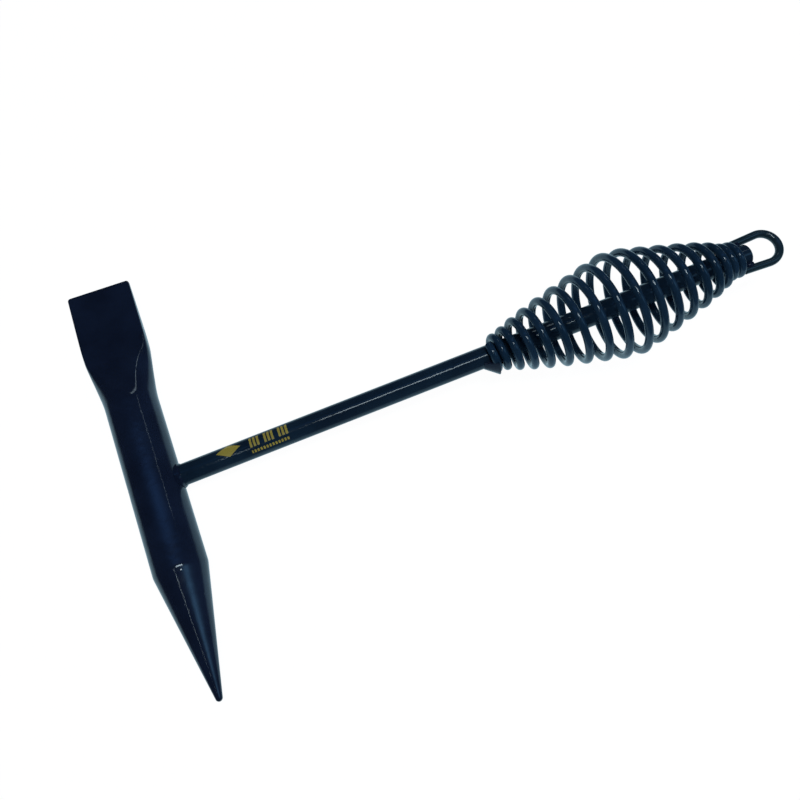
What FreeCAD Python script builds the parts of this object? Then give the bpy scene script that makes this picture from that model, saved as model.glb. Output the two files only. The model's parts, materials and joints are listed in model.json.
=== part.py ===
import FreeCAD, Part
import math
import os

import Sketcher

# Chipping hammer, lying on its side on a bench.
# The sub-parts are built straight, in the handle's own frame: X runs along the handle from the head
# towards the hanging loop, Y runs along the head towards the chisel edge, and the head's axis crosses
# the handle's axis at the origin. One placement then lays all of them down on the bench: the head's round
# bar and the fattest turns of the spring touch z = 0, and the origin is under the middle of the hammer.

os.makedirs("parts", exist_ok=True)
doc = FreeCAD.newDocument("chipping_hammer")

SIZES = [
    ("bar_d", "22", "round bar the head is forged from"),
    ("bar_r", "=bar_d / 2", "its radius"),
    ("tip_y", "-88", "end of the pick"),
    ("cone_y", "-36.4", "where the cone of the pick starts"),
    ("tip_r", "1.4", "blunt end of the pick"),
    ("tip_round", "1.2", "rounding of the blunt end"),
    ("cone_round", "16", "rounding where the cone meets the bar"),
    ("neck_y", "37", "where the bar starts to spread into the blade"),
    ("swell_y", "49.5", "middle of the spread, where the bar is flattened to an oval"),
    ("swell_w", "24.9", "width of the oval"),
    ("swell_h", "15.0", "height of the oval"),
    ("root_y", "61", "where the flat blade starts"),
    ("root_w", "27.7", "width of the blade there"),
    ("root_h", "6.8", "height of the stock there, before the facets"),
    ("root_corner_r", "1.8", "its corner radius"),
    ("root_z", "3.0", "height of the facet there"),
    ("edge_y", "94.5", "chisel edge"),
    ("edge_w", "27.5", "width of the chisel edge"),
    ("edge_h", "2.4", "height of the stock at the edge, before the facets"),
    ("edge_corner_r", "0.7", "its corner radius"),
    ("edge_z", "0.8", "half the thickness of the blunt edge"),
    ("facet_y", "38.5", "where the hollow part of the facet runs out on the bar"),
    ("facet_top_z", "=bar_r + 3", "the facet cuts reach clear of the stock"),
    ("head_cut_l", "60", "length of the cuts across the head"),
    ("head_turn_deg", "4.5", "the head is welded on a little turned about its own axis"),
    ("shaft_r", "4.6", "radius of the handle bar"),
    ("fit_gap", "0.03", "clearance between pieces that are welded together"),
    ("eye_r", "=shaft_r + fit_gap", "hole through the head for the handle bar"),
    ("shaft_start_x", "-8.6", "inner end of the handle bar, inside the eye"),
    ("shaft_end_x", "269.0", "rear end of the handle bar"),
    ("shaft_chamfer", "0.5", "chamfer of its rear end"),
    ("bead_start_x", "9.4", "the bead's profile starts inside the curve of the bar"),
    ("bead_foot_x", "=bar_r + 0.2", "lip of the bead on the bar"),
    ("bead_end_x", "=bar_r + 1.0", "end of the bead on the handle"),
    ("bead_r", "=shaft_r + 0.8", "outer radius of the bead"),
    ("bead_lip_r", "=shaft_r + 0.25", "radius of the bead's end"),
    ("bead_cut_r", "=bar_r + fit_gap", "the bead is cut away inside this radius"),
    ("plug_start_x", "=shaft_start_x - fit_gap", "the plug weld starts at the handle bar's end"),
    ("plug_rim_x", "-10.0", "rim of the plug weld"),
    ("plug_dip_x", "-9.4", "dip in the middle of the plug weld"),
    ("plug_r", "=eye_r - fit_gap", "radius of the plug weld"),
    ("plug_slope_r", "=plug_r * 0.62", "where the rim of the plug starts to fall"),
    ("wire_r", "1.75", "radius of the wire of the spring grip and of the hanging loop"),
    ("grip_x", "147.95", "station of turn zero of the spring"),
    ("first_turn", "0.19", "turn at which the wire starts, counted from the chisel side"),
    ("last_turn", "17.57", "turn at which the wire ends"),
    ("closed_pitch", "3.62", "pitch of the closed end turns"),
    ("open_pitch", "8.03", "pitch of the open turns"),
    ("front_closed", "0.34", "turn at which the front end starts to open"),
    ("front_open", "5.85", "turn at which the full pitch is reached"),
    ("rear_open", "13.0", "last turn of the full pitch"),
    ("rear_closed", "16.46", "turn at which the rear end is closed"),
    ("hug_r", "=shaft_r + wire_r + 0.22", "coil radius of the turns that hug the handle bar"),
    ("front_foot", "1.3", "turn at which the front cone leaves the handle bar"),
    ("front_growth", "1.97", "radius gained per turn in the front cone"),
    ("rear_growth", "2.24", "radius lost per turn in the rear cone"),
    ("rear_foot", "16.44", "turn at which the rear cone is back on the handle bar"),
    ("belly_round", "0.97", "how softly the two cones meet at the belly"),
    ("foot_round", "0.25", "how softly the cones run into the closed turns"),
    ("front_weld_x", "144.4", "thin end of the weld in front of the spring"),
    ("front_weld_end_x", "149.8", "thick end, under the first turn"),
    ("front_weld_r", "=shaft_r + 4.6", "height of that weld"),
    ("front_weld_lip_r", "=shaft_r + 0.3", "its thin end"),
    ("front_weld_deg", "85", "it reaches this far round the handle bar"),
    ("rear_weld_l", "3.2", "length of the weld that runs the wire's end out onto the handle bar"),
    ("rear_weld_big_r", "1.6", "its radius at the wire"),
    ("rear_weld_small_r", "0.7", "its radius at the other end"),
    ("rear_weld_deg", "14", "it leans in towards the handle bar by this much"),
    ("loop_r", "7", "centre-line radius of the hanging loop"),
    ("loop_x", "276.4", "centre of the loop's round end"),
    ("leg_y", "=shaft_r + wire_r + fit_gap", "the legs lie along the handle bar"),
    ("high_leg_x", "263.0", "front end of the leg on the chisel side"),
    ("low_leg_x", "264.6", "front end of the leg on the pick side"),
    ("loop_weld_half_l", "1.9", "half the length of the weld bead between a leg and the handle bar"),
    ("loop_weld_half_w", "1.5", "half its width"),
    ("loop_weld_half_h", "1.2", "half its height"),
    ("loop_weld_y", "5.1", "distance of the bead from the handle's axis"),
    ("loop_weld_z", "1.5", "height of the bead above the leg's axis"),
    ("leg_room_r", "=wire_r + 0.12", "the bead is cut away inside this radius round the leg"),
    ("leg_room_y", "6.5", "where the leg passes the bead"),
    ("high_weld_x", "265.6", "middle of the bead on the chisel side"),
    ("low_weld_x", "266.9", "middle of the bead on the pick side"),
]

sheet = doc.addObject("Spreadsheet::Sheet", "Sizes")
for row, (alias, content, note) in enumerate(SIZES, start=1):
    sheet.set("A%d" % row, note)
    sheet.set("B%d" % row, content)
    sheet.setAlias("B%d" % row, alias)
doc.recompute()

SAME_POINT = 1e-6    # points closer than this are one point
SAME_SIZE = 0.01     # sizes closer than this are one size


def size(name):
    return float(sheet.get(name))


def value(term):
    """The number behind a size name; a leading minus turns it round."""
    return -size(term[1:]) if term.startswith("-") else size(term)


def bound(term):
    """The same term as an expression for setExpression."""
    return "-Sizes." + term[1:] if term.startswith("-") else "Sizes." + term


def vector(x, y, z):
    return FreeCAD.Vector(x, y, z)


# ---------------------------------------------------------------- helpers for bodies and sketches

def new_body(label):
    body = doc.addObject("PartDesign::Body", label)
    body.Label = label
    return body


def new_sketch(body, name, plane):
    sketch = body.newObject("Sketcher::SketchObject", name)
    base = [feature for feature in body.Origin.OriginFeatures if feature.Role == plane][0]
    sketch.AttachmentSupport = [(base, "")]
    sketch.MapMode = "FlatFace"
    return sketch


def pin(sketch, geometry, point, x, y):
    """Fix a point of the sketch at a pair of size names; "0" puts it on the axis."""
    for kind, term, axis in (("DistanceX", x, -2), ("DistanceY", y, -1)):
        if term == "0":
            sketch.addConstraint(Sketcher.Constraint("PointOnObject", geometry, point, axis))
        else:
            index = sketch.addConstraint(Sketcher.Constraint(kind, -1, 1, geometry, point, value(term)))
            sketch.setExpression("Constraints[%d]" % index, bound(term))


def polygon(body, name, plane, corners):
    """A closed outline through corners given as pairs of size names."""
    sketch = new_sketch(body, name, plane)
    points = [vector(0 if x == "0" else value(x), 0 if y == "0" else value(y), 0) for x, y in corners]
    count = len(points)
    for i in range(count):
        sketch.addGeometry(Part.LineSegment(points[i], points[(i + 1) % count]))
    for i in range(count):
        sketch.addConstraint(Sketcher.Constraint("Coincident", i, 2, (i + 1) % count, 1))
    for i, (x, y) in enumerate(corners):
        pin(sketch, i, 1, x, y)
    return sketch


def circle(body, name, plane, radius, x="0", y="0"):
    sketch = new_sketch(body, name, plane)
    centre = vector(0 if x == "0" else value(x), 0 if y == "0" else value(y), 0)
    sketch.addGeometry(Part.Circle(centre, vector(0, 0, 1), value(radius)))
    index = sketch.addConstraint(Sketcher.Constraint("Radius", 0, value(radius)))
    sketch.setExpression("Constraints[%d]" % index, bound(radius))
    pin(sketch, 0, 3, x, y)
    return sketch


def rounded_section(body, name, station, width, height, radius):
    """A rectangle with round corners, square to the head's axis and centred on it."""
    sketch = new_sketch(body, name, "XZ_Plane")
    sketch.setExpression("AttachmentOffset.Base.z", bound("-" + station))
    half_w = value(width) / 2
    half_h = value(height) / 2
    r = value(radius)
    in_w = half_w - r
    in_h = half_h - r
    lines = [
        ((-in_w, half_h), (in_w, half_h)),
        ((half_w, in_h), (half_w, -in_h)),
        ((in_w, -half_h), (-in_w, -half_h)),
        ((-half_w, -in_h), (-half_w, in_h)),
    ]
    corners = [(in_w, in_h, 0), (in_w, -in_h, 270), (-in_w, -in_h, 180), (-in_w, in_h, 90)]
    for start, end in lines:
        sketch.addGeometry(Part.LineSegment(vector(*start, 0), vector(*end, 0)))
    for x, y, angle in corners:
        whole = Part.Circle(vector(x, y, 0), vector(0, 0, 1), r)
        sketch.addGeometry(Part.ArcOfCircle(whole, math.radians(angle), math.radians(angle + 90)))
    for i in range(4):
        sketch.addConstraint(Sketcher.Constraint("Tangent", i, 2, 4 + i, 2))
        sketch.addConstraint(Sketcher.Constraint("Tangent", (i + 1) % 4, 1, 4 + i, 1))
        sketch.addConstraint(Sketcher.Constraint("Vertical" if i % 2 else "Horizontal", i))
    for i in (5, 6, 7):
        sketch.addConstraint(Sketcher.Constraint("Equal", 4, i))
    sketch.addConstraint(Sketcher.Constraint("Symmetric", 0, 1, 2, 1, -1, 1))
    dimensions = [
        (Sketcher.Constraint("DistanceX", 3, 1, 1, 1, value(width)), width),
        (Sketcher.Constraint("DistanceY", 2, 1, 0, 1, value(height)), height),
        (Sketcher.Constraint("Radius", 4, r), radius),
    ]
    for constraint, term in dimensions:
        index = sketch.addConstraint(constraint)
        sketch.setExpression("Constraints[%d]" % index, bound(term))
    return sketch


def oval_section(body, name, station, width, height):
    """An oval square to the head's axis and centred on it."""
    sketch = new_sketch(body, name, "XZ_Plane")
    sketch.setExpression("AttachmentOffset.Base.z", bound("-" + station))
    sketch.addGeometry(Part.Ellipse(vector(0, 0, 0), value(width) / 2, value(height) / 2))
    sketch.exposeInternalGeometry(0)
    sketch.addConstraint(Sketcher.Constraint("Coincident", 0, 3, -1, 1))
    sketch.addConstraint(Sketcher.Constraint("Horizontal", 1))
    for line, term in ((1, width), (2, height)):
        index = sketch.addConstraint(Sketcher.Constraint("Distance", line, value(term)))
        sketch.setExpression("Constraints[%d]" % index, bound(term))
    return sketch


def revolve(body, sketch, axis):
    feature = body.newObject("PartDesign::Revolution", sketch.Name + "Turn")
    feature.Profile = sketch
    feature.ReferenceAxis = (sketch, [axis])
    feature.Angle = 360
    doc.recompute()
    return feature


def loft(body, name, sections, ruled):
    feature = body.newObject("PartDesign::AdditiveLoft", name)
    feature.Profile = sections[0]
    feature.Sections = sections[1:]
    feature.Ruled = ruled
    doc.recompute()
    return feature


def cut_through(body, sketch):
    """Cut the sketch's outline right through the body, to both sides of its plane."""
    feature = body.newObject("PartDesign::Pocket", sketch.Name + "Cut")
    feature.Profile = sketch
    feature.SideType = "Symmetric"
    feature.setExpression("Length", bound("head_cut_l"))
    doc.recompute()
    return feature


def round_edges(body, name, feature, radius, wanted):
    """Round the edges of the last feature whose centre passes the test."""
    names = ["Edge%d" % (i + 1) for i, edge in enumerate(feature.Shape.Edges) if wanted(edge)]
    fillet = body.newObject("PartDesign::Fillet", name)
    fillet.Base = (feature, names)
    fillet.setExpression("Radius", bound(radius))
    doc.recompute()
    return fillet


# ---------------------------------------------------------------- head and handle bar

def ring_at(y, radius):
    """Test for the circular edge of the head at station y."""
    def wanted(edge):
        if not isinstance(edge.Curve, Part.Circle):
            return False
        centred = abs(edge.Curve.Center.y - y) < SAME_SIZE
        return centred and abs(edge.Curve.Radius - radius) < SAME_SIZE
    return wanted


def facet_outline(body, name, side):
    """What a facet takes off: a straight run up the blade, then a hollow that runs out on the bar."""
    corners = [
        ("edge_y", side + "edge_z"),
        ("root_y", side + "root_z"),
        ("facet_y", side + "bar_r"),
        ("facet_y", side + "facet_top_z"),
        ("edge_y", side + "facet_top_z"),
    ]
    edge, root, top, high, high_edge = [vector(value(y), value(z), 0) for y, z in corners]
    along = (root - edge).normalize()
    chord = top - root
    normal = vector(-along.y, along.x, 0)
    radius = chord.Length ** 2 / (2 * chord.dot(normal))
    centre = root + normal * radius
    bisector = ((root + top) / 2 - centre).normalize()
    middle = centre + bisector * abs(radius)
    sketch = new_sketch(body, name, "YZ_Plane")
    sketch.addGeometry(Part.LineSegment(edge, root))
    sketch.addGeometry(Part.Arc(root, middle, top))
    sketch.addGeometry(Part.LineSegment(top, high))
    sketch.addGeometry(Part.LineSegment(high, high_edge))
    sketch.addGeometry(Part.LineSegment(high_edge, edge))
    arc_start = sketch.getPoint(1, 1)
    root_end, top_end = (1, 2) if arc_start.isEqual(root, SAME_POINT) else (2, 1)
    sketch.addConstraint(Sketcher.Constraint("Tangent", 0, 2, 1, root_end))
    sketch.addConstraint(Sketcher.Constraint("Coincident", 1, top_end, 2, 1))
    for i, following in ((2, 3), (3, 4), (4, 0)):
        sketch.addConstraint(Sketcher.Constraint("Coincident", i, 2, following, 1))
    for line, (y, z) in zip((0, 2, 3, 4), [corners[0]] + corners[2:]):
        pin(sketch, line, 1, y, z)
    pin(sketch, 0, 2, *corners[1])
    return sketch


def hammer_head():
    """Round bar with a pick at one end and a flattened chisel at the other."""
    body = new_body("hammer_head")
    outline = [
        ("0", "tip_y"),
        ("tip_r", "tip_y"),
        ("bar_r", "cone_y"),
        ("bar_r", "neck_y"),
        ("0", "neck_y"),
    ]
    bar = revolve(body, polygon(body, "BarOutline", "XY_Plane", outline), "V_Axis")
    tip = round_edges(body, "PickTip", bar, "tip_round", ring_at(size("tip_y"), size("tip_r")))
    round_edges(body, "ConeStart", tip, "cone_round", ring_at(size("cone_y"), size("bar_r")))
    neck = circle(body, "Neck", "XZ_Plane", "bar_r")
    neck.setExpression("AttachmentOffset.Base.z", bound("-neck_y"))
    swell = oval_section(body, "Swell", "swell_y", "swell_w", "swell_h")
    root = rounded_section(body, "Root", "root_y", "root_w", "root_h", "root_corner_r")
    edge = rounded_section(body, "Edge", "edge_y", "edge_w", "edge_h", "edge_corner_r")
    loft(body, "Spread", [neck, swell, root], False)
    loft(body, "Blade", [root, edge], True)
    cut_through(body, facet_outline(body, "UpperFacet", ""))
    cut_through(body, facet_outline(body, "LowerFacet", "-"))
    eye = circle(body, "Eye", "YZ_Plane", "eye_r")
    across_sketch = FreeCAD.Rotation(vector(1, 0, 0), -size("head_turn_deg"))
    eye.AttachmentOffset = FreeCAD.Placement(vector(0, 0, 0), across_sketch)
    cut_through(body, eye)
    return body


def handle_bar():
    """Round bar from inside the head's eye to just past the spring."""
    body = new_body("shaft")
    outline = [
        ("shaft_start_x", "0"),
        ("shaft_start_x", "shaft_r"),
        ("shaft_end_x", "shaft_r"),
        ("shaft_end_x", "0"),
    ]
    bar = revolve(body, polygon(body, "ShaftOutline", "XY_Plane", outline), "H_Axis")
    end = size("shaft_end_x")
    names = [
        "Edge%d" % (i + 1)
        for i, edge in enumerate(bar.Shape.Edges)
        if isinstance(edge.Curve, Part.Circle) and abs(edge.Curve.Center.x - end) < SAME_SIZE
    ]
    chamfer = body.newObject("PartDesign::Chamfer", "ShaftEnd")
    chamfer.Base = (bar, names)
    chamfer.setExpression("Size", bound("shaft_chamfer"))
    doc.recompute()
    return body


# ---------------------------------------------------------------- welds at the head

def head_weld():
    """Fillet bead round the handle bar where it leaves the head; its foot follows the round of the head."""
    body = new_body("head_weld")
    profile = [
        ("bead_start_x", "eye_r"),
        ("bead_start_x", "bead_r"),
        ("bead_foot_x", "bead_r"),
        ("bead_end_x", "bead_lip_r"),
        ("bead_end_x", "eye_r"),
    ]
    revolve(body, polygon(body, "BeadProfile", "XY_Plane", profile), "H_Axis")
    cut_through(body, circle(body, "BarRoom", "XZ_Plane", "bead_cut_r"))
    return body


def eye_plug_weld():
    """Weld that closes the eye on the far side of the head, sunk in the middle."""
    body = new_body("eye_plug_weld")
    profile = [
        ("plug_start_x", "0"),
        ("plug_start_x", "plug_r"),
        ("plug_rim_x", "plug_r"),
        ("plug_rim_x", "plug_slope_r"),
        ("plug_dip_x", "0"),
    ]
    revolve(body, polygon(body, "PlugProfile", "XY_Plane", profile), "H_Axis")
    return body


# ---------------------------------------------------------------- spring grip

def pitch_sum(turn):
    """Length of the coil from turn zero to this turn: closed, opening, open, closing, closed."""
    closed = size("closed_pitch")
    extra = size("open_pitch") - closed
    length = closed * turn
    for start, end, sign in (
        (size("front_closed"), size("front_open"), 1),
        (size("rear_open"), size("rear_closed"), -1),
    ):
        into = min(max(turn - start, 0), end - start)
        length += sign * extra * (into * into / (end - start) / 2 + max(turn - end, 0))
    return length


def soft_least(a, b, softness):
    """The smaller of two numbers, rounded off where they meet."""
    low = min(a, b)
    return low - softness * math.log(math.exp((low - a) / softness) + math.exp((low - b) / softness))


def coil_radius(turn):
    """Two cones that meet at the belly, never tighter than the turns that hug the handle bar."""
    hug = size("hug_r")
    front = hug + size("front_growth") * (turn - size("front_foot"))
    rear = hug + size("rear_growth") * (size("rear_foot") - turn)
    cone = soft_least(front, rear, size("belly_round"))
    return -soft_least(-cone, -hug, size("foot_round"))


POINTS_PER_TURN = 16


def coil_points():
    """Centre line of the spring's wire: turn zero faces the chisel, and the coil is right-handed."""
    first = size("first_turn")
    last = size("last_turn")
    count = int(round((last - first) * POINTS_PER_TURN))
    points = []
    for i in range(count + 1):
        turn = first + (last - first) * i / count
        angle = 2 * math.pi * turn
        r = coil_radius(turn)
        x = size("grip_x") + pitch_sum(turn)
        points.append(vector(x, r * math.cos(angle), r * math.sin(angle)))
    return points


def sweep_wire(points, radius):
    """A round wire of this radius along a smooth curve through the points."""
    curve = Part.BSplineCurve()
    curve.interpolate(points)
    start = curve.value(curve.FirstParameter)
    heading = curve.tangent(curve.FirstParameter)[0]
    section = Part.Wire([Part.Circle(start, heading, radius).toShape()])
    pipe = Part.BRepOffsetAPI.MakePipeShell(Part.Wire([curve.toShape()]))
    pipe.setFrenetMode(True)
    pipe.add(section)
    pipe.build()
    pipe.makeSolid()
    return pipe.shape(), curve.length()


def grip_spring():
    feature = doc.addObject("Part::Feature", "grip_spring")
    feature.Label = "grip_spring"
    feature.Shape, length = sweep_wire(coil_points(), size("wire_r"))
    expected = math.pi * size("wire_r") ** 2 * length
    print("spring: wire length %.1f mm, volume %.1f of %.1f mm3" % (length, feature.Shape.Volume, expected))
    return feature


def spring_front_weld():
    """Wedge of weld on the pick side of the handle bar; it ends against the first turn."""
    profile = [
        ("front_weld_x", "eye_r"),
        ("front_weld_x", "front_weld_lip_r"),
        ("front_weld_end_x", "front_weld_r"),
        ("front_weld_end_x", "eye_r"),
    ]
    corners = [vector(size(x), -size(y), 0) for x, y in profile]
    face = Part.Face(Part.makePolygon(corners + corners[:1]))
    reach = size("front_weld_deg")
    face.rotate(vector(0, 0, 0), vector(1, 0, 0), -reach / 2)
    wedge = face.revolve(vector(0, 0, 0), vector(1, 0, 0), reach)
    first_turn = coil_points()[:POINTS_PER_TURN]
    room, _ = sweep_wire(first_turn, size("wire_r") + size("fit_gap"))
    feature = doc.addObject("Part::Feature", "spring_front_weld")
    feature.Label = "spring_front_weld"
    feature.Shape = wedge.cut(room).Solids[0]
    return feature


def spring_rear_weld():
    """Run-out of weld from the wire's end down onto the handle bar."""
    end, before = coil_points()[-1], coil_points()[-2]
    along = (end - before).normalize()
    inward = vector(0, -end.y, -end.z).normalize()
    lean = math.radians(size("rear_weld_deg"))
    heading = along * math.cos(lean) + inward * math.sin(lean)
    big_r = size("rear_weld_big_r")
    start = end + along * (big_r * math.sin(lean) + size("fit_gap"))
    cone = Part.makeCone(big_r, size("rear_weld_small_r"), size("rear_weld_l"), start, heading)
    bar_room = Part.makeCylinder(size("eye_r"), size("shaft_end_x"), vector(0, 0, 0), vector(1, 0, 0))
    feature = doc.addObject("Part::Feature", "spring_rear_weld")
    feature.Label = "spring_rear_weld"
    feature.Shape = cone.cut(bar_room).Solids[0]
    return feature


# ---------------------------------------------------------------- hanging loop

def tangent_angle(leg_x):
    """Angle round the loop's centre at which a leg that starts at leg_x meets the round end."""
    dx = leg_x - size("loop_x")
    dy = size("leg_y")
    return math.atan2(dy, dx) - math.acos(size("loop_r") / math.hypot(dx, dy))


def loop_path(body):
    """Two straight legs that spread a little, joined by a round end."""
    sketch = new_sketch(body, "LoopPath", "XY_Plane")
    high = tangent_angle(size("high_leg_x"))
    low = -tangent_angle(size("low_leg_x"))
    r = size("loop_r")
    centre = vector(size("loop_x"), 0, 0)
    high_start = vector(size("high_leg_x"), size("leg_y"), 0)
    low_start = vector(size("low_leg_x"), -size("leg_y"), 0)
    high_end = centre + vector(r * math.cos(high), r * math.sin(high), 0)
    low_end = centre + vector(r * math.cos(low), r * math.sin(low), 0)
    sketch.addGeometry(Part.LineSegment(high_start, high_end))
    sketch.addGeometry(Part.ArcOfCircle(Part.Circle(centre, vector(0, 0, 1), r), low, high))
    sketch.addGeometry(Part.LineSegment(low_end, low_start))
    sketch.addConstraint(Sketcher.Constraint("Tangent", 0, 2, 1, 2))
    sketch.addConstraint(Sketcher.Constraint("Tangent", 2, 1, 1, 1))
    index = sketch.addConstraint(Sketcher.Constraint("Radius", 1, r))
    sketch.setExpression("Constraints[%d]" % index, bound("loop_r"))
    pin(sketch, 0, 1, "high_leg_x", "leg_y")
    pin(sketch, 1, 3, "loop_x", "0")
    pin(sketch, 2, 2, "low_leg_x", "-leg_y")
    return sketch


def hanging_loop():
    body = new_body("hanging_loop")
    path = loop_path(body)
    section = circle(body, "LoopSection", "YZ_Plane", "wire_r", "leg_y", "0")
    section.setExpression("AttachmentOffset.Base.z", bound("high_leg_x"))
    doc.recompute()
    pipe = body.newObject("PartDesign::AdditivePipe", "LoopRod")
    pipe.Profile = section
    pipe.Spine = (path, ["Edge1", "Edge2", "Edge3"])
    doc.recompute()
    return body


def loop_weld(label, station, side):
    """Bead in the groove between a leg of the loop and the handle bar, on the upper side."""
    body = new_body(label)
    bead = body.newObject("PartDesign::AdditiveEllipsoid", "Bead")
    bead.setExpression("Placement.Base.x", bound(station))
    bead.setExpression("Placement.Base.y", bound(side + "loop_weld_y"))
    bead.setExpression("Placement.Base.z", bound("loop_weld_z"))
    bead.setExpression("Radius1", bound("loop_weld_half_h"))
    bead.setExpression("Radius2", bound("loop_weld_half_l"))
    bead.setExpression("Radius3", bound("loop_weld_half_w"))
    doc.recompute()
    for name, radius, y in (("BarRoom", "eye_r", "0"), ("LegRoom", "leg_room_r", side + "leg_room_y")):
        room = circle(body, label + name, "YZ_Plane", radius, y, "0")
        cut = body.newObject("PartDesign::Pocket", room.Name + "Cut")
        cut.Profile = room
        cut.SideType = "Symmetric"
        cut.setExpression("Length", "2.2 * Sizes.shaft_end_x")
        doc.recompute()
    return body


# ---------------------------------------------------------------- laying the hammer down

def resting_tilt(points):
    """Angle by which the handle rises towards the loop when head and spring both rest on the bench."""
    low = 0.0
    high = math.radians(10)
    for _ in range(60):
        tilt = (low + high) / 2
        lowest = min(p.x * math.sin(tilt) + p.z * math.cos(tilt) for p in points)
        if size("bar_r") + lowest - size("wire_r") > 0:
            high = tilt
        else:
            low = tilt
    return high


def lay_down(parts, points):
    """Place all parts so that the hammer rests on z = 0 and is centred over the origin."""
    tilt = math.degrees(resting_tilt(points))
    head_turn = FreeCAD.Rotation(vector(0, 1, 0), size("head_turn_deg"))
    for part in parts:
        part.Placement = FreeCAD.Placement(vector(0, 0, 0), FreeCAD.Rotation(vector(0, 1, 0), -tilt))
        if part.Label == "hammer_head":
            part.Placement = part.Placement * FreeCAD.Placement(vector(0, 0, 0), head_turn)
    boxes = [part.Shape.optimalBoundingBox(False) for part in parts]
    middle_x = (min(box.XMin for box in boxes) + max(box.XMax for box in boxes)) / 2
    middle_y = (min(box.YMin for box in boxes) + max(box.YMax for box in boxes)) / 2
    shift = vector(-middle_x, -middle_y, -min(box.ZMin for box in boxes))
    for part in parts:
        part.Placement = FreeCAD.Placement(shift, FreeCAD.Rotation()) * part.Placement
    print("tilt %.3f degrees" % tilt)
    print("head axis at x %.3f, handle axis at y %.3f, head axis at z %.3f" % tuple(shift))


def check(parts):
    for obj in doc.Objects:
        if any(word in obj.State for word in ("Invalid", "Error")):
            raise RuntimeError("%s did not compute: %s" % (obj.Name, obj.State))
    for part in parts:
        if part.Shape.isNull() or not part.Shape.isValid() or len(part.Shape.Solids) != 1:
            raise RuntimeError("%s is not one valid solid" % part.Label)


def main():
    parts = [
        hammer_head(),
        handle_bar(),
        head_weld(),
        eye_plug_weld(),
        grip_spring(),
        spring_front_weld(),
        spring_rear_weld(),
        hanging_loop(),
        loop_weld("loop_weld_upper", "high_weld_x", ""),
        loop_weld("loop_weld_lower", "low_weld_x", "-"),
    ]
    lay_down(parts, coil_points())
    doc.recompute()
    check(parts)
    for part in parts:
        part.Shape.exportStep("parts/%s.step" % part.Label)
        print("%-20s %9.1f mm3" % (part.Label, part.Shape.Volume))


main()
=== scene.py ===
import json
import math

import bpy
import numpy as np
from mathutils import Matrix, Vector


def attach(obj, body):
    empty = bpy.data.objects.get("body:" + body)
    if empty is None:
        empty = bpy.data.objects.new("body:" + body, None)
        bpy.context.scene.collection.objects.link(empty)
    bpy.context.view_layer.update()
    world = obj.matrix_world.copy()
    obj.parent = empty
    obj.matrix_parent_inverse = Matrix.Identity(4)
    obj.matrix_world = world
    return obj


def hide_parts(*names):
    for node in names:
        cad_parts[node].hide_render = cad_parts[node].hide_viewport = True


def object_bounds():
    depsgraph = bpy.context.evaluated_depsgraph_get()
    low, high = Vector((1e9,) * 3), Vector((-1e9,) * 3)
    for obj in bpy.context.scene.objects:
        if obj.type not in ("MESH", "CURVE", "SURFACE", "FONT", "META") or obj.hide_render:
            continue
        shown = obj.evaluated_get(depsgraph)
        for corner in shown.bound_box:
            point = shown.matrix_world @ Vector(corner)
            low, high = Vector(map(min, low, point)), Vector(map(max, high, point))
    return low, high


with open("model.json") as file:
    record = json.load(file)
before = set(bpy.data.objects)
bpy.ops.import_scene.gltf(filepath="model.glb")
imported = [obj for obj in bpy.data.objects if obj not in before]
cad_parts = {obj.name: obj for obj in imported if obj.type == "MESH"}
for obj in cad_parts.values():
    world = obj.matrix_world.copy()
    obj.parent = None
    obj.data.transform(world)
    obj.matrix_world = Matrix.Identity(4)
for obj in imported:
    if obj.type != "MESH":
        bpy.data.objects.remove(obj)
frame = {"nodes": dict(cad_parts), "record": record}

CAD_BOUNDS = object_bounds()
MM = 0.001

# A chipping hammer that lies on its side on a pale studio floor.
# The pieces are described in the handle's own frame, in millimetres, as in part.py: x runs along the handle
# from the head to the hanging loop, y along the head towards the chisel edge, z up from the floor. The
# handle lies a few degrees out of level, and the record's mount in the middle of the hanging loop says where
# its frame lies in the row frame.

EYE_X = 275.0
EYE_MOUNT = [m for m in frame["record"]["mounts"] if m["name"] == "hanging_loop_eye"][0]
UP = Vector(EYE_MOUNT["axis"]).normalized()
ACROSS = Vector((0, 1, 0))
ALONG = ACROSS.cross(UP)
ORIGIN = Vector(EYE_MOUNT["pos_m"]) - ALONG * (EYE_X * MM)


def to_row(x, y, z):
    """A point of the handle's frame, in millimetres, as a point of the row frame, in metres."""
    return ORIGIN + (ALONG * x + ACROSS * y + UP * z) * MM


def mesh_object(name, points, faces, look):
    """A new object in the scene, with one material."""
    mesh = bpy.data.meshes.new(name)
    mesh.from_pydata([tuple(p) for p in points], [], faces)
    mesh.update()
    piece = bpy.data.objects.new(name, mesh)
    bpy.context.scene.collection.objects.link(piece)
    mesh.materials.append(look)
    return piece


# ---------------------------------------------------------------- nodes of the materials

# Sockets of a Mix node that mixes colours.
MIX_FACTOR, MIX_FIRST, MIX_SECOND = 0, 6, 7
MIX_RESULT = 2


def new_material(name):
    """An empty material and its node tree."""
    material = bpy.data.materials.new(name)
    material.use_nodes = True
    material.node_tree.nodes.clear()
    return material, material.node_tree


def add_node(tree, kind, inputs=None, **settings):
    """A new node. Each input is a socket to link from, or a fixed value."""
    node = tree.nodes.new(kind)
    for key, content in settings.items():
        setattr(node, key, content)
    for key, content in (inputs or {}).items():
        if isinstance(content, bpy.types.NodeSocket):
            tree.links.new(content, node.inputs[key])
        else:
            node.inputs[key].default_value = content
    return node


def math_node(tree, operation, *terms):
    return add_node(tree, "ShaderNodeMath", dict(enumerate(terms)), operation=operation).outputs[0]


def noise_node(tree, place, scale, detail, roughness=0.5):
    inputs = {"Vector": place, "Scale": scale, "Detail": detail, "Roughness": roughness}
    return add_node(tree, "ShaderNodeTexNoise", inputs).outputs["Fac"]


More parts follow.
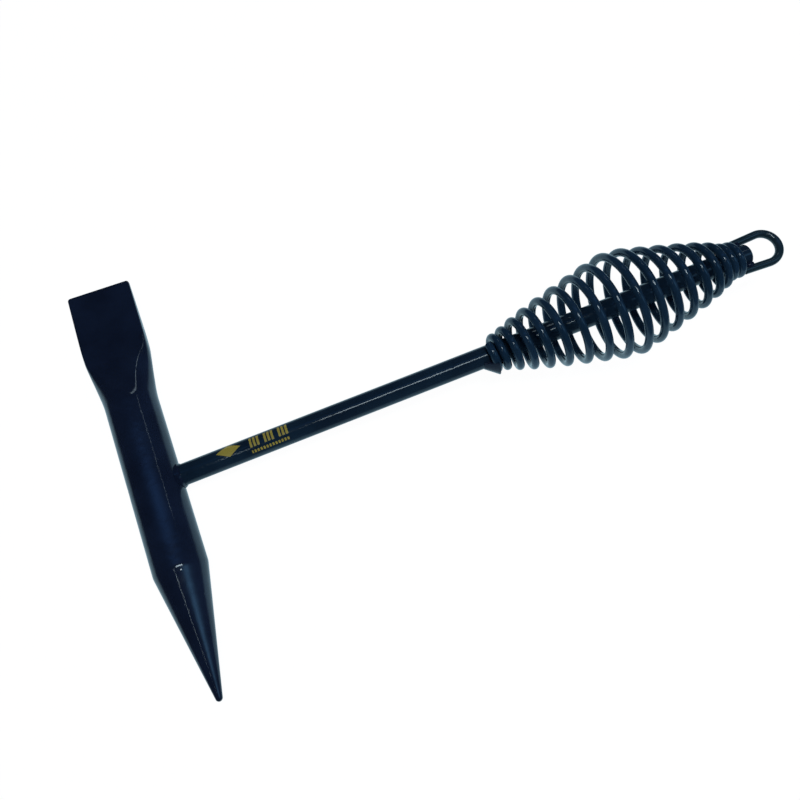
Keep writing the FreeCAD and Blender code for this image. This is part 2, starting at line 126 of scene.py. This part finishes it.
def remap(tree, source, from_low, from_high, to_low, to_high):
    """Move source from one range to another. It is held at the ends of the new range."""
    inputs = {"Value": source, "From Min": from_low, "From Max": from_high,
              "To Min": to_low, "To Max": to_high}
    return add_node(tree, "ShaderNodeMapRange", inputs).outputs[0]


def mix_colour(tree, factor, first, second):
    """The first colour where factor is 0, the second where it is 1."""
    inputs = {MIX_FACTOR: factor, MIX_FIRST: first, MIX_SECOND: second}
    return add_node(tree, "ShaderNodeMix", inputs, data_type="RGBA").outputs[MIX_RESULT]


def off_middle(tree, source, middle):
    """Distance of source from middle, either way."""
    return math_node(tree, "ABSOLUTE", math_node(tree, "SUBTRACT", source, middle))


def soft_band(tree, source, middle, half, blur):
    """1 where source is within half of middle, falling to 0 over a distance blur."""
    return remap(tree, off_middle(tree, source, middle), half - blur / 2, half + blur / 2, 1, 0)


def repeated_band(tree, source, pitch, share, blur):
    """Bands that repeat every pitch, each as wide as that share of it. The blur is a share of it too."""
    phase = math_node(tree, "FRACT", math_node(tree, "DIVIDE", source, pitch))
    return soft_band(tree, phase, 0.5, share / 2, blur)


def bumped(tree, height, depth, **below):
    """The normal of a surface with a height map of that depth, in metres, laid over the normal below."""
    inputs = {"Height": height, "Distance": depth, "Strength": 1.0, **below}
    return add_node(tree, "ShaderNodeBump", inputs).outputs["Normal"]


# ---------------------------------------------------------------- print on the handle bar

# In millimetres: x along the bar, s round it, from its top towards the chisel side.
SHAFT_R = 4.6
PRINT_BLUR = 0.18
DIAMOND_X, DIAMOND_S = 33.1, 1.5
DIAMOND_HALF_L, DIAMOND_HALF_W = 5.2, 3.0
DIAMOND_BLUR = 0.08                     # a share of the diamond's half size
BLOCKS_X = (44.3, 50.4, 56.6)
BLOCK_S, BLOCK_HALF_W, BLOCK_HALF_L = 1.2, 2.3, 2.35
STROKE_PITCH, STROKE_SHARE, STROKE_BLUR = 1.55, 0.62, 0.12
ROW_X, ROW_S, ROW_HALF_L, ROW_HALF_W = 50.3, -3.0, 8.2, 0.62
DASH_PITCH, DASH_SHARE, DASH_BLUR = 1.3, 0.6, 0.15

GOLD = (0.62, 0.50, 0.085, 1)
GOLD_ROUGHNESS = 0.45
WEAR_SCALE, WEAR_DETAIL, WEAR_ROUGHNESS = 2600, 3, 0.6
WEAR_LOW, WEAR_HIGH, WORN_COVER = 0.30, 0.42, 0.55


def handle_place(tree):
    """The handle's own coordinates, in millimetres, of the point being shaded."""
    place = add_node(tree, "ShaderNodeTexCoord").outputs["Object"]
    inputs = {0: place, 1: tuple(ORIGIN)}
    offset = add_node(tree, "ShaderNodeVectorMath", inputs, operation="SUBTRACT").outputs["Vector"]
    axes = []
    for axis in (ALONG, ACROSS, UP):
        inputs = {0: offset, 1: tuple(axis / MM)}
        axes.append(add_node(tree, "ShaderNodeVectorMath", inputs, operation="DOT_PRODUCT").outputs["Value"])
    return axes


def printed_mark(tree):
    """Plain print on the handle bar: a diamond, three hatched blocks and a row of dashes below."""
    x, y, z = handle_place(tree)
    s = math_node(tree, "MULTIPLY", math_node(tree, "ARCTAN2", y, z), SHAFT_R)

    long_part = math_node(tree, "DIVIDE", off_middle(tree, x, DIAMOND_X), DIAMOND_HALF_L)
    wide_part = math_node(tree, "DIVIDE", off_middle(tree, s, DIAMOND_S), DIAMOND_HALF_W)
    reach = math_node(tree, "ADD", long_part, wide_part)
    mark = remap(tree, reach, 1 - DIAMOND_BLUR / 2, 1 + DIAMOND_BLUR / 2, 1, 0)

    strokes = repeated_band(tree, x, STROKE_PITCH, STROKE_SHARE, STROKE_BLUR)
    across = soft_band(tree, s, BLOCK_S, BLOCK_HALF_W, PRINT_BLUR)
    for middle in BLOCKS_X:
        block = math_node(tree, "MULTIPLY", soft_band(tree, x, middle, BLOCK_HALF_L, PRINT_BLUR), across)
        mark = math_node(tree, "MAXIMUM", mark, math_node(tree, "MULTIPLY", block, strokes))

    dashes = repeated_band(tree, x, DASH_PITCH, DASH_SHARE, DASH_BLUR)
    row = math_node(tree, "MULTIPLY", soft_band(tree, x, ROW_X, ROW_HALF_L, PRINT_BLUR),
                    soft_band(tree, s, ROW_S, ROW_HALF_W, PRINT_BLUR))
    return math_node(tree, "MAXIMUM", mark, math_node(tree, "MULTIPLY", row, dashes))


# ---------------------------------------------------------------- enamel

# Two shades of each paint, between which it clouds.
NAVY = ((0.0100, 0.0170, 0.0400, 1), (0.0140, 0.0250, 0.0580, 1))
TEAL = ((0.0115, 0.0370, 0.0740, 1), (0.0170, 0.0490, 0.0960, 1))
PETROL = ((0.0105, 0.0260, 0.0500, 1), (0.0145, 0.0370, 0.0670, 1))
SLATE = ((0.0170, 0.0400, 0.0560, 1), (0.0230, 0.0520, 0.0730, 1))
SPECULAR_TINT = (0.72, 0.90, 1.0, 1)

# Noise and cell patterns: scales in repeats per metre, bump depths in metres.
CLOUD_SCALE, CLOUD_DETAIL, CLOUD_LOW, CLOUD_HIGH = 70, 3, 0.35, 0.65
GLOSS_SCALE, GLOSS_DETAIL, GLOSS_ROUGHNESS, GLOSS_LOW, GLOSS_HIGH = 160, 4, 0.6, 0.3, 0.7
SMOOTHEST, ROUGHEST = 0.05, 0.13
WAVE_SCALE, WAVE_DETAIL, WAVE_DEPTH = 110, 2, 0.12 * MM
PEEL_SCALE, PEEL_DETAIL, PEEL_ROUGHNESS, PEEL_DEPTH = 620, 3, 0.55, 0.012 * MM
NIB_SCALE, NIB_TOP, NIB_FOOT, NIB_DEPTH = 250, 0.05, 0.16, 0.03 * MM
NIB_BARE_SHARE = 0.70                   # share of the cells that hold no nib


def dust_nibs(tree, place):
    """Small round specks in a few cells of an uneven pattern."""
    cells = add_node(tree, "ShaderNodeTexVoronoi", {"Vector": place, "Scale": NIB_SCALE})
    speck = remap(tree, cells.outputs["Distance"], NIB_TOP, NIB_FOOT, 1, 0)
    lot = add_node(tree, "ShaderNodeSeparateColor", {0: cells.outputs["Color"]}).outputs[0]
    return math_node(tree, "MULTIPLY", speck, math_node(tree, "GREATER_THAN", lot, NIB_BARE_SHARE))


def enamel(name, shades, wave=1.0, peel=1.0, nibs=1.0, ior=1.5, printed=False):
    """Thick glossy enamel, nearly black with some blue: long waves, orange peel and a few dust nibs."""
    material, tree = new_material(name)
    place = add_node(tree, "ShaderNodeTexCoord").outputs["Object"]
    clouds = noise_node(tree, place, CLOUD_SCALE, CLOUD_DETAIL)
    colour = mix_colour(tree, remap(tree, clouds, CLOUD_LOW, CLOUD_HIGH, 0, 1), *shades)
    gloss = noise_node(tree, place, GLOSS_SCALE, GLOSS_DETAIL, GLOSS_ROUGHNESS)
    rough = remap(tree, gloss, GLOSS_LOW, GLOSS_HIGH, SMOOTHEST, ROUGHEST)

    long_wave = noise_node(tree, place, WAVE_SCALE, WAVE_DETAIL)
    orange_peel = noise_node(tree, place, PEEL_SCALE, PEEL_DETAIL, PEEL_ROUGHNESS)
    normal = bumped(tree, long_wave, WAVE_DEPTH * wave)
    normal = bumped(tree, orange_peel, PEEL_DEPTH * peel, Normal=normal)
    normal = bumped(tree, dust_nibs(tree, place), NIB_DEPTH * nibs, Normal=normal)

    if printed:
        wear = noise_node(tree, place, WEAR_SCALE, WEAR_DETAIL, WEAR_ROUGHNESS)
        cover = remap(tree, wear, WEAR_LOW, WEAR_HIGH, WORN_COVER, 1)
        mark = math_node(tree, "MULTIPLY", printed_mark(tree), cover)
        colour = mix_colour(tree, mark, colour, GOLD)
        rough = remap(tree, mark, 0, 1, rough, GOLD_ROUGHNESS)

    inputs = {"Base Color": colour, "Roughness": rough, "Normal": normal,
              "IOR": ior, "Specular Tint": SPECULAR_TINT}
    shader = add_node(tree, "ShaderNodeBsdfPrincipled", inputs)
    add_node(tree, "ShaderNodeOutputMaterial", {"Surface": shader.outputs[0]})
    return material


# ---------------------------------------------------------------- floor and backdrop

STAGE_HALF = 4.0                        # metres
WALL_HEIGHT = 3.0
FLOOR_LEVEL = CAD_BOUNDS[0][2] - 0.2 * MM
PAPER_SHADES = ((0.095, 0.098, 0.10, 1), (0.110, 0.113, 0.115, 1))
PAPER_GRAIN, PAPER_DETAIL = 900, 3
PAPER_ROUGHNESS, PAPER_SPECULAR = 0.9, 0.1
PAPER_GLOW = 0.975


def floor_paper():
    """Matt paper that shines by itself, so that it stays nearly white and shadows on it are faint."""
    material, tree = new_material("floor_paper")
    place = add_node(tree, "ShaderNodeTexCoord").outputs["Object"]
    colour = mix_colour(tree, noise_node(tree, place, PAPER_GRAIN, PAPER_DETAIL), *PAPER_SHADES)
    inputs = {"Base Color": colour, "Roughness": PAPER_ROUGHNESS, "Specular IOR Level": PAPER_SPECULAR,
              "Emission Color": (1, 1, 1, 1), "Emission Strength": PAPER_GLOW}
    shader = add_node(tree, "ShaderNodeBsdfPrincipled", inputs)
    add_node(tree, "ShaderNodeOutputMaterial", {"Surface": shader.outputs[0]})
    return material


def stage_corners(level):
    half = STAGE_HALF
    return [(-half, -half, level), (half, -half, level), (half, half, level), (-half, half, level)]


def build_floor(paper):
    """A pale floor just under the hammer, left out of the reflections in the enamel."""
    floor = mesh_object("floor", stage_corners(FLOOR_LEVEL), [(0, 1, 2, 3)], paper)
    floor.visible_glossy = False


def build_backdrop(paper):
    """A pale wall round the floor, seen by the camera only, so that low views have no dark horizon."""
    points = stage_corners(FLOOR_LEVEL) + stage_corners(FLOOR_LEVEL + WALL_HEIGHT)
    sides = [(k, (k + 1) % 4, 4 + (k + 1) % 4, 4 + k) for k in range(4)]
    wall = mesh_object("backdrop", points, sides, paper)
    wall.visible_glossy = False
    wall.visible_diffuse = False
    wall.visible_shadow = False


# ---------------------------------------------------------------- surroundings and lights

DARK_ROOM = (0.015, 0.020, 0.033, 1)
PALE_BENCH = (0.46, 0.69, 0.80, 1)
BLUE_GLOW = (0.16, 0.36, 0.90, 1)
BLUE_WINDOW = (0.60, 1.15, 1.80, 1)

# Directions are unit vectors. The bench fades out between two heights of the direction; each patch of sky
# has the x and y of its middle and how fast it fades along each.
BENCH_TOP, ROOM_START = -0.38, -0.08
GLOW_MIDDLE, GLOW_HALF = (0.05, 0.25), (0.42, 0.075)
WINDOW_MIDDLE, WINDOW_HALF = (0.52, -0.27), (0.22, 0.14)

WHITE = (1.0, 1.0, 1.0)
COOL_WHITE = (0.9, 0.95, 1.0)
X_AXIS, Y_AXIS = (1, 0, 0), (0, 1, 0)

# Soft lights: name, direction, distance and size in metres, radiance, colour, and the axis that the first
# size lies along.
LIGHTS = (
    ("key", (0.058, -0.07, 1.0), 1.1, (0.49, 0.15), 12.0, WHITE, X_AXIS),
    ("strip_left", (-0.31, -0.25, 0.92), 1.2, (0.30, 0.015), 9.0, WHITE, Y_AXIS),
    ("strip_far", (0.25, 0.72, 0.64), 1.2, (0.10, 0.24), 2.8, COOL_WHITE, X_AXIS),
    ("strip_right", (0.57, 0.36, 0.74), 1.2, (0.30, 0.02), 3.0, COOL_WHITE, Y_AXIS),
)


def soft_spot(tree, place, middle, half):
    """A soft-edged patch of sky: 1 at its middle, fading out round it, and 0 below the horizon."""
    x, y, z = add_node(tree, "ShaderNodeSeparateXYZ", {0: place}).outputs[:3]
    squares = []
    for k, axis in enumerate((x, y)):
        part = math_node(tree, "DIVIDE", math_node(tree, "SUBTRACT", axis, middle[k]), half[k])
        squares.append(math_node(tree, "MULTIPLY", part, part))
    spread = math_node(tree, "ADD", *squares)
    fall = math_node(tree, "EXPONENT", math_node(tree, "MULTIPLY", spread, -1.0))
    return math_node(tree, "MULTIPLY", fall, math_node(tree, "GREATER_THAN", z, 0.0))


def build_world():
    """A dark room over a pale bench, with a weak blue glow overhead and a small blue window."""
    world = bpy.data.worlds.new("studio")
    bpy.context.scene.world = world
    world.use_nodes = True
    tree = world.node_tree
    tree.nodes.clear()
    place = add_node(tree, "ShaderNodeTexCoord").outputs["Generated"]
    height = add_node(tree, "ShaderNodeSeparateXYZ", {0: place}).outputs["Z"]
    inputs = {"Value": height, "From Min": BENCH_TOP, "From Max": ROOM_START, "To Min": 1.0, "To Max": 0.0}
    below = add_node(tree, "ShaderNodeMapRange", inputs, interpolation_type="SMOOTHSTEP").outputs[0]
    colour = mix_colour(tree, below, DARK_ROOM, PALE_BENCH)
    colour = mix_colour(tree, soft_spot(tree, place, GLOW_MIDDLE, GLOW_HALF), colour, BLUE_GLOW)
    colour = mix_colour(tree, soft_spot(tree, place, WINDOW_MIDDLE, WINDOW_HALF), colour, BLUE_WINDOW)
    background = add_node(tree, "ShaderNodeBackground", {"Color": colour, "Strength": 1.0})
    add_node(tree, "ShaderNodeOutputWorld", {"Surface": background.outputs[0]})


def soft_light(name, towards, distance, size, radiance, colour, first_axis):
    """A rectangular light that faces the row frame's origin, which is near the middle of the hammer."""
    light = bpy.data.lights.new(name, "AREA")
    light.shape = "RECTANGLE"
    light.size, light.size_y = size
    light.color = colour
    light.energy = radiance * math.pi * size[0] * size[1]
    lamp = bpy.data.objects.new(name, light)
    bpy.context.scene.collection.objects.link(lamp)
    back = Vector(towards).normalized()
    side = (Vector(first_axis) - back * back.dot(Vector(first_axis))).normalized()
    turn = Matrix((side, back.cross(side), back)).transposed().to_4x4()
    lamp.matrix_world = Matrix.Translation(back * distance) @ turn


# ---------------------------------------------------------------- camera

# Angles in degrees, place in the handle's frame, lens and sensor in millimetres.
CAMERA_ELEVATION = 72.81
CAMERA_HEADING = 22.16
CAMERA_ROLL = 0.80
CAMERA_AT = (89.26, -87.50, 292.86)
CAMERA_LENS = 32.86
CAMERA_SENSOR = 36


def build_camera():
    camera = bpy.data.objects.new("camera", bpy.data.cameras.new("camera"))
    bpy.context.scene.collection.objects.link(camera)
    camera.data.sensor_width = CAMERA_SENSOR
    camera.data.lens = CAMERA_LENS
    turn = Matrix.Rotation(-math.radians(CAMERA_HEADING), 4, "Z")
    lean = Matrix.Rotation(math.pi / 2 - math.radians(CAMERA_ELEVATION), 4, "X")
    roll = Matrix.Rotation(math.radians(CAMERA_ROLL), 4, "Z")
    camera.matrix_world = Matrix.Translation(to_row(*CAMERA_AT)) @ turn @ lean @ roll
    bpy.context.scene.camera = camera


# ---------------------------------------------------------------- head

BAR_R = 11.0
EYE_R, EYE_REACH, EYE_POINTS = 4.63, 30, 96
HEAD_TURN = math.radians(4.5)
TIP_Y, TIP_R, TIP_ROUND = -88.6, 1.15, 1.15
CONE_Y, CONE_SOFT = -36.4, 0.045
EDGE_Y, EDGE_ROUND = 94.5, 0.45
CORNER_R = 1.4
FACET_SOFT = 0.16
STEP_Y = 0.5
TIP_ANGLES = range(6, 90, 12)           # degrees round the tip of the pick
EDGE_ANGLES = range(0, 90, 15)          # degrees round the chisel edge
SECTION_POINTS = 192
HALVINGS = 34                           # of the stretch in which the surface is searched for
SHARP_ANGLE = math.radians(38)

# Stations along the head: y, half width and half height of the stock, its squareness, distance of the facets
# from the axis, and how far the upper facet is rolled over, in degrees.
STOCK = np.array([
    (20.0, 11.0, 11.0, 2.0, 16.0, 22.0),
    (32.0, 11.0, 11.0, 2.0, 12.6, 22.0),
    (36.0, 11.0, 11.0, 2.0, 11.5, 22.0),
    (38.0, 11.05, 10.95, 2.0, 10.95, 21.0),
    (41.0, 11.3, 10.4, 2.0, 9.95, 12.0),
    (44.0, 11.7, 9.6, 2.0, 8.75, 4.0),
    (49.5, 12.45, 8.0, 2.1, 6.6, -3.0),
    (55.0, 13.2, 6.4, 2.5, 4.9, -4.0),
    (61.0, 13.75, 4.7, 4.0, 3.4, -1.0),
    (68.0, 13.85, 3.7, 6.0, 2.55, 0.0),
    (80.0, 13.8, 2.9, 7.0, 1.75, 0.0),
    (94.5, 13.75, 2.0, 7.0, 0.8, 0.0),
])
STOCK_Y = STOCK[:, 0]


def smooth_through(stations, levels, at):
    """A curve through the levels that never swings past them (monotone cubic)."""
    steps = np.diff(stations)
    slopes = np.diff(levels) / steps
    tangents = np.zeros(len(stations))
    same_way = slopes[1:] * slopes[:-1] > 0
    mean = 2 * slopes[1:] * slopes[:-1] / np.where(same_way, slopes[1:] + slopes[:-1], 1)
    tangents[1:-1] = np.where(same_way, mean, 0)
    tangents[0], tangents[-1] = slopes[0], slopes[-1]
    i = np.clip(np.searchsorted(stations, at) - 1, 0, len(steps) - 1)
    h = steps[i]
    u = (np.clip(at, stations[0], stations[-1]) - stations[i]) / h
    return ((2 * u ** 3 - 3 * u ** 2 + 1) * levels[i] + (u ** 3 - 2 * u ** 2 + u) * h * tangents[i]
            + (3 * u ** 2 - 2 * u ** 3) * levels[i + 1] + (u ** 3 - u ** 2) * h * tangents[i + 1])


def stock_at(y):
    """Half width, half height, squareness, distance of the facets and roll of the stock at a station."""
    return [smooth_through(STOCK_Y, levels, y) for levels in STOCK[:, 1:].T]


def round_radius(y):
    """Radius of the round part of the head: the bar, the cone of the pick and its blunt tip."""
    cone = TIP_R + (y - TIP_Y) * (BAR_R - TIP_R) / (CONE_Y - TIP_Y)
    low = min(cone, BAR_R)
    r = low - CONE_SOFT * math.log(math.exp((low - cone) / CONE_SOFT) + math.exp((low - BAR_R) / CONE_SOFT))
    into = TIP_ROUND - (y - TIP_Y)
    if into > 0:
        r -= TIP_ROUND - math.sqrt(max(TIP_ROUND ** 2 - into ** 2, 0))
    return r


def corner_inset(y):
    """How far the corners of the chisel edge, seen from above, are rounded in."""
    into = max(y - (EDGE_Y - CORNER_R), 0)
    return CORNER_R - math.sqrt(max(CORNER_R ** 2 - into ** 2, 0))


def section_radii(y, inset, directions):
    """Distance of the surface from the head's axis in each direction, for a station on the chisel side."""
    half_w, half_h, square, facet, roll = stock_at(y)
    half_w, half_h, facet = half_w - inset - corner_inset(y), half_h - inset, facet - inset
    roll = math.radians(roll)
    cos, sin = np.cos(directions), np.sin(directions)
    stock = (np.abs(cos / half_w) ** square + np.abs(sin / half_h) ** square) ** (-1 / square)
    normals = (sin * math.cos(roll) + cos * math.sin(roll), -sin)
    low, high = np.zeros_like(stock), stock.copy()
    for _ in range(HALVINGS):
        r = (low + high) / 2
        depths = [r - stock] + [r * normal - facet for normal in normals]
        top = np.max(depths, axis=0)
        level = top + FACET_SOFT * np.log(sum(np.exp((depth - top) / FACET_SOFT) for depth in depths))
        low, high = np.where(level < 0, r, low), np.where(level < 0, high, r)
    return (low + high) / 2


def head_rows():
    """Stations from the tip of the pick to the chisel edge, each with how far the section is drawn in."""
    rows = [(TIP_Y + TIP_ROUND * (1 - math.cos(math.radians(angle))), 0.0) for angle in TIP_ANGLES]
    y = rows[-1][0] + STEP_Y / 2
    while y < EDGE_Y - EDGE_ROUND:
        rows.append((y, 0.0))
        y += STEP_Y
    for angle in EDGE_ANGLES:
        bend = math.radians(angle)
        rows.append((EDGE_Y - EDGE_ROUND * (1 - math.sin(bend)), EDGE_ROUND * (1 - math.cos(bend))))
    return rows


def full_turn(count):
    """Evenly spaced angles round a circle."""
    return np.linspace(0, 2 * math.pi, count, endpoint=False)


def head_section(y, inset):
    """Directions from the head's axis at a station, and the distance of the surface in each."""
    turn = full_turn(SECTION_POINTS)
    if y < STOCK_Y[0]:
        return turn, np.full(SECTION_POINTS, round_radius(y))
    half_w, _, _, facet, _ = stock_at(y)
    directions = np.arctan2(min(facet, half_w) * np.sin(turn), half_w * np.cos(turn))
    return directions, section_radii(y, inset, directions)


def turned_head(x, y, z):
    """The head is welded on a little turned about its own axis."""
    return to_row(x * math.cos(HEAD_TURN) + z * math.sin(HEAD_TURN), y,
                  -x * math.sin(HEAD_TURN) + z * math.cos(HEAD_TURN))


def tube_faces(rows, columns):
    """Quads between rows of points, each row a closed ring."""
    faces = []
    for i in range(rows - 1):
        for j in range(columns):
            k = (j + 1) % columns
            faces.append((i * columns + j, i * columns + k, (i + 1) * columns + k, (i + 1) * columns + j))
    return faces


def eye_cutter(look):
    """A round bar along the handle's axis, as thick as the eye is wide, and longer than the eye."""
    points = [to_row(x, EYE_R * math.cos(angle), EYE_R * math.sin(angle))
              for x in (-EYE_REACH, EYE_REACH) for angle in full_turn(EYE_POINTS)]
    first_end = tuple(reversed(range(EYE_POINTS)))
    last_end = tuple(range(EYE_POINTS, 2 * EYE_POINTS))
    return mesh_object("eye_cutter", points, tube_faces(2, EYE_POINTS) + [first_end, last_end], look)


def cut_away(piece, cutter):
    """Subtract the cutter from the piece, and drop the cutter."""
    modifier = piece.modifiers.new("cut", "BOOLEAN")
    modifier.operation = "DIFFERENCE"
    modifier.solver = "EXACT"
    modifier.object = cutter
    graph = bpy.context.evaluated_depsgraph_get()
    result = bpy.data.meshes.new_from_object(piece.evaluated_get(graph))
    piece.modifiers.clear()
    piece.data = result
    bpy.data.objects.remove(cutter)


def build_head(look):
    """The forged head: one closed skin from the pick's tip to the chisel edge, with the eye cut through."""
    rows = head_rows()
    points = []
    for y, inset in rows:
        for angle, r in zip(*head_section(y, inset)):
            points.append(turned_head(r * math.cos(angle), y, r * math.sin(angle)))
    faces = [face[::-1] for face in tube_faces(len(rows), SECTION_POINTS)]
    last = (len(rows) - 1) * SECTION_POINTS
    faces.append(tuple(range(SECTION_POINTS)))
    faces.append(tuple(reversed(range(last, last + SECTION_POINTS))))
    head = mesh_object("forged_head", points, faces, look)
    cut_away(head, eye_cutter(look))
    head.data.shade_smooth()
    head.data.set_sharp_from_angle(angle=SHARP_ANGLE)
    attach(head, "root")
    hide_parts("hammer_head")


# ---------------------------------------------------------------- the scene

head_look = enamel("head_enamel_look", NAVY, wave=1.3, peel=2.4, nibs=1.6)
shaft_look = enamel("shaft_enamel_look", PETROL, peel=1.6, ior=1.36, printed=True)
spring_look = enamel("spring_enamel_look", TEAL, wave=1.5, peel=2.5, nibs=2.0, ior=1.42)
loop_look = enamel("loop_enamel_look", SLATE, wave=1.2, peel=2.0, ior=1.42)
weld_look = enamel("weld_enamel_look", NAVY, wave=2.5, peel=2.5, nibs=2.0, ior=1.25)
LOOKS = {"hammer_head": head_look, "head_weld": head_look, "eye_plug_weld": head_look,
         "shaft": shaft_look, "grip_spring": spring_look, "hanging_loop": loop_look}
for name, node in frame["nodes"].items():
    for slot in node.material_slots:
        slot.material = LOOKS.get(name, weld_look)

build_head(head_look)
floor_look = floor_paper()
build_floor(floor_look)
build_backdrop(floor_look)
build_world()
for light in LIGHTS:
    soft_light(*light)
build_camera()
bpy.context.scene.view_settings.view_transform = "Standard"
